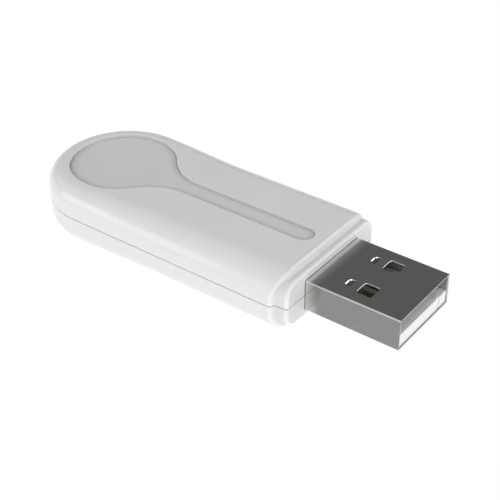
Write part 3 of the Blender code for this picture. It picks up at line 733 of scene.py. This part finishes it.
def lance_pocket(side, outside):
    """The lance's hollow, with leaning walls, which rises to nothing towards the mouth."""
    root, mouth = LANCE_X
    floor = lance_ring(side, *LANCE_LEAN)
    slope = LANCE_DEPTH / (mouth - root - LANCE_LEAN[0])
    bed = [outside + TOLERANCE - slope * (mouth - x) for x, _ in floor]
    rings = [[(x, y, z) for (x, y), z in zip(floor, bed)]]
    for i, (out, drop) in enumerate(quarter_round(LANCE_EASE, 5)):
        outline = lance_ring(side, LANCE_EASE - out, LANCE_EASE - out)
        brim = outside + HAIR - drop
        rings.append([(x, y, max(brim, low + 2 * HAIR * (i + 1))) for (x, y), low in zip(outline, bed)])
    return loft("lance_pocket", rings + [[(x, y, outside + PAST) for x, y in lance_ring(side, 0, 0)]])


def fold_joint(outside):
    """The fine closing joint of the folded sheet, along the underside, with a square tab halfway."""
    start, tab_start, tab_end, end = JOINT_X
    runs = ((start, tab_start, 0.0, 0.0),
            (tab_start, tab_end, JOINT_TAB, JOINT_TAB),
            (tab_end, end, 0.0, 0.0),
            (tab_start, tab_start, 0.0, JOINT_TAB),
            (tab_end, tab_end, 0.0, JOINT_TAB))
    return [box("joint", (x0 - JOINT_HALF, y0 - JOINT_HALF, -outside - PAST),
                (x1 + JOINT_HALF, y1 + JOINT_HALF, -outside + JOINT_DEPTH)) for x0, x1, y0, y1 in runs]


def make_tongue():
    """The plug's white insulator, bevelled, with its channels, parting groove, nick and lug."""
    half_y = PLUG_WIDTH / 2 - PLUG_SHEET - TONGUE_CLEAR
    half_z = PLUG_HEIGHT / 2 - PLUG_SHEET - TONGUE_CLEAR
    tip = PLUG_LENGTH - TONGUE_BACK
    front = LANCE_X[0]
    profile = [(PLUG_REAR, -half_z), (tip, -half_z), (tip, TONGUE_TOP), (front, TONGUE_TOP),
               (front, half_z), (PLUG_REAR, half_z)]
    foot, start, end, height = TONGUE_LUG
    sunk = TONGUE_TOP - LUG_ROOT
    lug = [(foot, sunk), (end, sunk), (end, height), (start, height)]
    lug = loft("lug", [[(x, y, z) for y, z in lug] for x in (tip - LUG_DEPTH, tip)])
    tongue = bevelled(add(blade("plug_tongue", profile, -half_y, half_y), lug), TONGUE_ROUND)
    channels = []
    for node in CONTACTS:
        low, high = ((corner - ROOT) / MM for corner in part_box(node))
        low -= Vector((PLUG_LENGTH, TONGUE_CLEAR, TONGUE_CLEAR))
        high += Vector((TONGUE_BACK, TONGUE_CLEAR, TONGUE_CLEAR))
        channels.append(box("channel", low, high))
    split = box("split", (tip - SPLIT_DEPTH, TONGUE_SPLIT[0], -half_z - PAST),
                (tip + PAST, TONGUE_SPLIT[1], PAST))
    nick = box("nick", (tip - NICK_DEPTH, TONGUE_NICK[0], -half_z - PAST),
               (tip + PAST, TONGUE_NICK[1], -half_z + NICK_HIGH))
    return cut(tongue, *channels, split, nick)


# ---------------------------------------------------------------- materials

class Nodes:
    """A short hand for building one material's node tree."""

    MIDDLE = (0.3, 0.7)

    def __init__(self, name):
        self.material = bpy.data.materials.new(name)
        self.material.use_nodes = True
        self.tree = self.material.node_tree
        self.shader = self.tree.nodes["Principled BSDF"]
        self.coords = self.tree.nodes.new("ShaderNodeTexCoord").outputs["Object"]

    def link(self, source, target):
        self.tree.links.new(source, target)

    def set(self, **values):
        for key, value in values.items():
            self.shader.inputs[key.replace("_", " ")].default_value = value

    def noise(self, size, detail=3.0, rough=0.5, stretch=(1, 1, 1)):
        """Noise whose features are about size millimetres across."""
        mapping = self.tree.nodes.new("ShaderNodeMapping")
        mapping.inputs["Scale"].default_value = stretch
        self.link(self.coords, mapping.inputs["Vector"])
        node = self.tree.nodes.new("ShaderNodeTexNoise")
        node.inputs["Scale"].default_value = 1 / (size * MM)
        node.inputs["Detail"].default_value = detail
        node.inputs["Roughness"].default_value = rough
        self.link(mapping.outputs["Vector"], node.inputs["Vector"])
        return node.outputs["Fac"]

    def blend(self, factor, first, second, socket):
        """A colour ramp from first to second over the middle of the noise."""
        ramp = self.tree.nodes.new("ShaderNodeValToRGB")
        for element, position, colour in zip(ramp.color_ramp.elements, self.MIDDLE, (first, second)):
            element.position = position
            element.color = (*colour, 1.0)
        self.link(factor, ramp.inputs["Fac"])
        self.link(ramp.outputs["Color"], self.shader.inputs[socket])

    def spread(self, factor, low, high, socket):
        """A number that runs from low to high over the middle of the noise."""
        node = self.tree.nodes.new("ShaderNodeMapRange")
        node.inputs["From Min"].default_value = self.MIDDLE[0]
        node.inputs["From Max"].default_value = self.MIDDLE[1]
        node.inputs["To Min"].default_value = low
        node.inputs["To Max"].default_value = high
        self.link(factor, node.inputs["Value"])
        self.link(node.outputs["Result"], self.shader.inputs[socket])

    def along(self, start, end):
        """0 at start and 1 at end, in millimetres along X from the plug root."""
        split = self.tree.nodes.new("ShaderNodeSeparateXYZ")
        self.link(self.coords, split.inputs["Vector"])
        node = self.tree.nodes.new("ShaderNodeMapRange")
        node.interpolation_type = "SMOOTHSTEP"
        node.inputs["From Min"].default_value = ROOT.x + start * MM
        node.inputs["From Max"].default_value = ROOT.x + end * MM
        self.link(split.outputs["X"], node.inputs["Value"])
        return node.outputs["Result"]

    def stored(self, name, low=0.0, high=1.0):
        """The share, from 0 at low to 1 at high, of a number stored on the mesh."""
        source = self.tree.nodes.new("ShaderNodeAttribute")
        source.attribute_name = name
        node = self.tree.nodes.new("ShaderNodeMapRange")
        node.inputs["From Min"].default_value = low
        node.inputs["From Max"].default_value = high
        self.link(source.outputs["Fac"], node.inputs["Value"])
        return node.outputs["Result"]

    def tint(self, factor, colour):
        """Mix colour into the base colour where the factor is high.

        A Mix node's colours are its inputs 6 and 7, and its mixed colour is output 2.
        """
        base = self.shader.inputs["Base Color"]
        mix = self.tree.nodes.new("ShaderNodeMix")
        mix.data_type = "RGBA"
        self.link(base.links[0].from_socket, mix.inputs[6])
        mix.inputs[7].default_value = (*colour, 1.0)
        self.link(factor, mix.inputs[0])
        self.link(mix.outputs[2], base)

    def bump(self, *layers):
        """Bump layers, each a height and its depth in millimetres."""
        normal = None
        for height, depth in layers:
            node = self.tree.nodes.new("ShaderNodeBump")
            node.inputs["Distance"].default_value = depth * MM
            self.link(height, node.inputs["Height"])
            if normal:
                self.link(normal, node.inputs["Normal"])
            normal = node.outputs["Normal"]
        self.link(normal, self.shader.inputs["Normal"])


def casing_material():
    """White ABS with a fine spark-eroded texture, with painted shade at the collar, painted highlight on
    edges, and painted shade in creases and at the pad's opening.
    """
    n = Nodes("white_casing")
    n.set(Specular_IOR_Level=0.5, IOR=1.5)
    n.blend(n.noise(9.0), (0.85, 0.85, 0.846), (0.88, 0.88, 0.878), "Base Color")
    # Painted shade: greyer towards the collar
    n.tint(n.along(-2.2, -1.0), (0.8, 0.8, 0.798))
    # Painted highlight on the convex edges of the step and collar
    n.tint(n.stored("edge", 0.3, 1.1), (0.97, 0.97, 0.968))
    # Painted shade in the creases between step and collar
    n.tint(n.stored("edge", -0.1, -1.0), (0.66, 0.66, 0.658))
    # Painted shade on the wall of the pad's opening
    n.tint(n.stored("painted_shade"), PAINTED_SHADE_COLOUR)
    n.spread(n.noise(3.0, 5.0, 0.6), 0.17, 0.25, "Roughness")
    n.bump((n.noise(0.12, 2.0), 0.0009), (n.noise(2.4, 2.0), 0.002))
    return n.material


def pad_material():
    """The pad's plastic, a shade greyer and more matt than the casing."""
    n = Nodes("white_pad")
    n.set(IOR=1.5)
    n.blend(n.noise(7.0), (0.775, 0.775, 0.772), (0.795, 0.795, 0.793), "Base Color")
    # Painted shade on the pad along its edge, standing in for the recess's shade
    n.tint(n.stored("painted_shade"), PAINTED_SHADE_COLOUR)
    n.spread(n.noise(2.0, 5.0, 0.6), 0.4, 0.52, "Roughness")
    n.bump((n.noise(0.09, 2.0), 0.002))
    return n.material


def metal(name, dark, light, rough, grain=(0.02, 1, 1), size=0.12, depth=0.0006):
    """Sheet metal with rolling lines along X and a mottled polish."""
    n = Nodes(name)
    n.set(Metallic=1.0)
    n.blend(n.noise(1.6, 6.0, 0.6), dark, light, "Base Color")
    n.spread(n.noise(0.9, 6.0, 0.7, (0.15, 1, 1)), rough[0], rough[1], "Roughness")
    n.bump((n.noise(size, 2.0, 0.5, grain), depth))
    return n


def plastic(name, dark, light, rough, size=1.0, grain=0.1, depth=0.002):
    n = Nodes(name)
    n.set(IOR=1.5)
    n.blend(n.noise(size), dark, light, "Base Color")
    n.spread(n.noise(size / 2, 4.0, 0.6), rough[0], rough[1], "Roughness")
    n.bump((n.noise(grain, 2.0), depth))
    return n


def nickel_material():
    """Nickel plate, with a painted reflection of the white collar as a brighter band beside the casing."""
    n = metal("nickel_plate", (0.262, 0.258, 0.25), (0.282, 0.278, 0.27), (0.12, 0.18))
    # Painted reflection of the white collar near the plug root
    n.tint(n.along(2.3, -0.9), (0.85, 0.84, 0.82))
    return n.material


def nylon_material():
    """The tongue's white nylon, with painted shade greying it towards the back of the plug."""
    n = plastic("white_nylon", (0.86, 0.86, 0.85), (0.89, 0.89, 0.88), (0.4, 0.55), 1.2, 0.08)
    # Painted shade deeper inside the plug
    n.tint(n.along(12.0, 9.0), (0.5, 0.5, 0.5))
    return n.material


def gold_finish():
    """Gold flash, bright at the contacts' tips, with painted shade darkening it further in."""
    n = metal("gold_flash", (0.78, 0.56, 0.2), (0.86, 0.66, 0.3), (0.22, 0.34))
    # Painted shade deeper inside the plug
    n.tint(n.along(11.0, 9.0), (0.36, 0.32, 0.15))
    return n


# ---------------------------------------------------------------- studio

def make_camera():
    """The camera as it stood for the photo."""
    data = bpy.data.cameras.new("camera")
    data.sensor_width = CAMERA_SENSOR
    data.lens = CAMERA_LENS
    data.clip_start = 0.01
    data.clip_end = 20.0
    camera = bpy.data.objects.new("camera", data)
    bpy.context.scene.collection.objects.link(camera)
    azimuth, elevation, roll = (math.radians(degrees) for degrees in CAMERA_TURN)
    back = Vector((math.sin(azimuth) * math.cos(elevation), -math.cos(azimuth) * math.cos(elevation),
                   math.sin(elevation)))
    level = Vector((0, 0, 1)).cross(back).normalized()
    over = back.cross(level)
    right = level * math.cos(roll) + over * math.sin(roll)
    up = over * math.cos(roll) - level * math.sin(roll)
    spot = ROOT + back * CAMERA_SHIFT[2] + right * CAMERA_SHIFT[0] + up * CAMERA_SHIFT[1]
    camera.matrix_world = Matrix.Translation(spot) @ Matrix((right, up, back)).transposed().to_4x4()
    bpy.context.scene.camera = camera
    bpy.context.scene.view_settings.view_transform = "Standard"


def make_softbox(name, azimuth, elevation, size, watts):
    """A round softbox that faces the adapter."""
    data = bpy.data.lights.new(name, "AREA")
    data.shape = "DISK"
    data.size = size
    data.energy = watts
    light = bpy.data.objects.new(name, data)
    bpy.context.scene.collection.objects.link(light)
    turn = math.radians(azimuth)
    lift = math.radians(elevation)
    way = Vector((math.cos(turn) * math.cos(lift), math.sin(turn) * math.cos(lift), math.sin(lift)))
    light.location = Vector(SOFTBOX_AIM) + way * SOFTBOX_AWAY
    light.rotation_euler = way.to_track_quat("Z", "Y").to_euler()


def make_world():
    """The dim white tent round the studio."""
    world = bpy.data.worlds.new("studio")
    world.use_nodes = True
    background = world.node_tree.nodes["Background"]
    background.inputs["Color"].default_value = (1, 1, 1, 1)
    background.inputs["Strength"].default_value = TENT_LIGHT
    bpy.context.scene.world = world


def make_floor():
    """A white sweep that glows, so that it stays plain and nearly shadowless."""
    bm = bmesh.new()
    bmesh.ops.create_grid(bm, x_segments=1, y_segments=1, size=FLOOR_HALF)
    mesh = bpy.data.meshes.new("floor")
    bm.to_mesh(mesh)
    bm.free()
    floor = bpy.data.objects.new("floor", mesh)
    bpy.context.scene.collection.objects.link(floor)
    material = bpy.data.materials.new("floor_white")
    material.use_nodes = True
    shader = material.node_tree.nodes["Principled BSDF"]
    shader.inputs["Base Color"].default_value = (FLOOR_GREY, FLOOR_GREY, FLOOR_GREY, 1)
    shader.inputs["Roughness"].default_value = 1.0
    shader.inputs["Specular IOR Level"].default_value = 0.0
    shader.inputs["Emission Color"].default_value = (1, 1, 1, 1)
    shader.inputs["Emission Strength"].default_value = FLOOR_GLOW
    mesh.materials.append(material)


# ---------------------------------------------------------------- the adapter

make_camera()
make_world()
make_floor()
for softbox in SOFTBOXES:
    make_softbox(*softbox)

casing = casing_material()
place(make_top_casing(), "casing", "casing", casing, "top_shell")
place(make_bottom_casing(), "casing", "casing", casing, "bottom_shell")
place(make_pad(), "press_pad", "pad", pad_material(), "press_pad")
plug = place(make_plug(), "casing", "nickel", nickel_material(), "usb_shell", smooth=28)
finish_plug(plug, metal("bare_steel", (0.58, 0.58, 0.575), (0.64, 0.64, 0.63), (0.16, 0.26)),
            # Painted shade for the lances' hollows
            metal("hollow_painted_shade", (0.11, 0.11, 0.11), (0.15, 0.15, 0.15), (0.4, 0.5)),
            # Painted glint on edges facing the light
            metal("painted_glint_edge", (0.92, 0.92, 0.91), (0.96, 0.96, 0.95), (0.22, 0.3)))
place(make_tongue(), "casing", "insulator", nylon_material(), "usb_insulator")

tinned = metal("tinned_sheet", (0.6, 0.6, 0.59), (0.72, 0.72, 0.71), (0.28, 0.42), (0.2, 1, 1))
dome = place(make_snap_dome(), "casing", "tin", tinned.material, "switch_dome")
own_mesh(dome)

FINISHES = {
    "gold": gold_finish(),
    "tin": tinned,
    "copper": metal("masked_copper", (0.6, 0.34, 0.18), (0.75, 0.46, 0.28), (0.3, 0.45)),
    "board": plastic("solder_mask", (0.02, 0.15, 0.06), (0.035, 0.22, 0.1), (0.3, 0.42), 0.8, 0.25, 0.004),
    "epoxy": plastic("black_epoxy", (0.014, 0.014, 0.015), (0.03, 0.03, 0.032), (0.45, 0.65),
                     0.5, 0.06, 0.003),
    "ferrite": plastic("dark_ferrite", (0.05, 0.05, 0.055), (0.09, 0.09, 0.095), (0.5, 0.7),
                       0.3, 0.08, 0.004),
    "ceramic": plastic("tan_ceramic", (0.42, 0.31, 0.2), (0.56, 0.43, 0.29), (0.4, 0.6), 0.3, 0.08, 0.003),
    "lens": plastic("pale_resin", (0.7, 0.8, 0.55), (0.78, 0.88, 0.64), (0.12, 0.22), 0.5, 0.1, 0.001),
    "paper": plastic("silver_label", (0.66, 0.67, 0.68), (0.72, 0.73, 0.74), (0.42, 0.58), 2.5, 0.3, 0.003),
}
REPLACED = ("top_shell", "bottom_shell", "press_pad", "usb_shell", "usb_insulator", "switch_dome")
for part in frame["record"]["subparts"]:
    node = part["node"]
    if node in REPLACED:
        continue
    mesh = NODES[node].data
    mesh.materials.clear()
    mesh.materials.append(FINISHES[part["material_slot"]].material)
